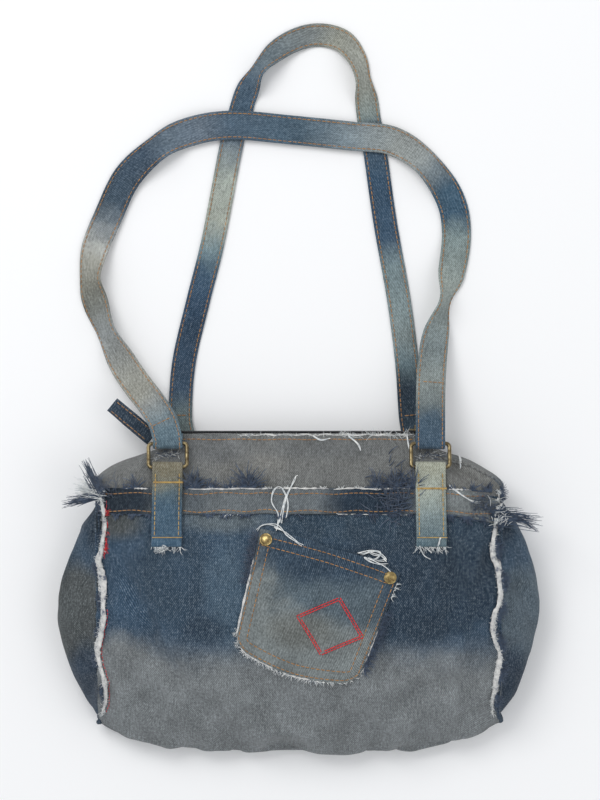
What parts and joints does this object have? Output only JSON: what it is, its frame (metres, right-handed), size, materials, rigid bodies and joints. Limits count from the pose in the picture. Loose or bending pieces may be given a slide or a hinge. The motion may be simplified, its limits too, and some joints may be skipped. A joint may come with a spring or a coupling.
{
  "type": "shoulder bag",
  "caption": "Denim shoulder bag with a zip top, long handles on rings and a patch pocket, lying on its back with the handles laid out.",
  "frame": {"origin": "middle of the whole bag and its laid-out handles, on the surface that the bag lies on", "axes": "+X across the bag to its right seen from the front, +Y from the bottom fold to the handles, +Z out of the front panel"},
  "size_m": [0.396, 0.6004, 0.0746],
  "materials": {
    "denim_front": "faded denim, blue above and brown-grey below, twill weave",
    "denim_back": "faded denim, blue above and grey below, twill weave",
    "denim_gusset": "mid-blue denim, creased",
    "denim_yoke": "worn grey denim",
    "denim_band": "denim strip in blue and grey stretches with frayed edges",
    "denim_tab": "denim strip fading from tan to blue, brown-orange stitching",
    "denim_pocket": "worn denim with double orange topstitching and frayed edges",
    "denim_handle": "double denim strap in indigo, grey and khaki stretches",
    "denim_dark": "dark unwashed denim",
    "zip_tape": "black woven tape",
    "raw_edge": "raw white weft, frayed",
    "zip_chain": "black moulded teeth",
    "antique_brass": "antique brass, rubbed bright on the edges"
  },
  "bodies": {
    "bag": {"front_panel": "denim_front", "back_panel": "denim_back", "left_gusset": "denim_gusset", "right_gusset": "denim_gusset", "front_yoke": "denim_yoke", "back_yoke": "denim_yoke", "front_band": "denim_band", "back_band": "denim_band", "front_zip_tape": "zip_tape", "back_zip_tape": "zip_tape", "zip_teeth": "zip_chain", "zip_stops": "antique_brass", "zip_tail": "denim_dark", "front_left_tab": "denim_tab", "front_right_tab": "denim_tab", "back_left_tab": "denim_tab", "back_right_tab": "denim_tab", "patch_pocket": "denim_pocket", "pocket_rivets": "antique_brass", "front_left_seam_edge": "raw_edge", "front_right_seam_edge": "raw_edge", "back_left_seam_edge": "raw_edge", "back_right_seam_edge": "raw_edge"},
    "ring_front_left": {"front_left_ring": "antique_brass"},
    "ring_front_right": {"front_right_ring": "antique_brass"},
    "ring_back_left": {"back_left_ring": "antique_brass"},
    "ring_back_right": {"back_right_ring": "antique_brass"},
    "handle_front": {"front_handle": "denim_handle"},
    "handle_back": {"back_handle": "denim_handle"},
    "slider": {"zip_slider": "antique_brass"},
    "pull": {"zip_pull": "antique_brass"}
  },
  "joints": [
    {"name": "front_right_ring_swing", "type": "hinge", "parent": "bag", "child": "ring_front_right", "pos_m": [0.1065, -0.065, 0.05137], "axis": [1, 0, 0], "range_deg": [0, 90]},
    {"name": "front_left_ring_swing", "type": "hinge", "parent": "bag", "child": "ring_front_left", "pos_m": [-0.1065, -0.065, 0.05137], "axis": [1, 0, 0], "range_deg": [0, 90]},
    {"name": "front_handle_swing", "type": "hinge", "parent": "ring_front_right", "child": "handle_front", "pos_m": [0.1065, -0.046, 0.04617], "axis": [1, 0, 0], "range_deg": [0, 75]},
    {"name": "back_right_ring_swing", "type": "hinge", "parent": "bag", "child": "ring_back_right", "pos_m": [0.095, -0.065, 0.00571], "axis": [1, 0, 0], "range_deg": [-90, 0]},
    {"name": "back_left_ring_swing", "type": "hinge", "parent": "bag", "child": "ring_back_left", "pos_m": [-0.095, -0.065, 0.00571], "axis": [1, 0, 0], "range_deg": [-90, 0]},
    {"name": "back_handle_swing", "type": "hinge", "parent": "ring_back_right", "child": "handle_back", "pos_m": [0.095, -0.04531, 0.00515], "axis": [1, 0, 0], "range_deg": [-75, 0]},
    {"name": "zip_slide", "type": "slide", "parent": "bag", "child": "slider", "axis": [-1, 0, 0], "range_m": [0, 0.19]},
    {"name": "zip_pull_swing", "type": "hinge", "parent": "slider", "child": "pull", "pos_m": [0.0965, -0.0327, 0.0237], "axis": [0, 0, 1], "range_deg": [0, 170]}
  ],
  "couplings": [
    {"joint": "front_left_ring_swing", "follows": "front_right_ring_swing", "ratio": 1},
    {"joint": "back_left_ring_swing", "follows": "back_right_ring_swing", "ratio": 1}
  ]
}
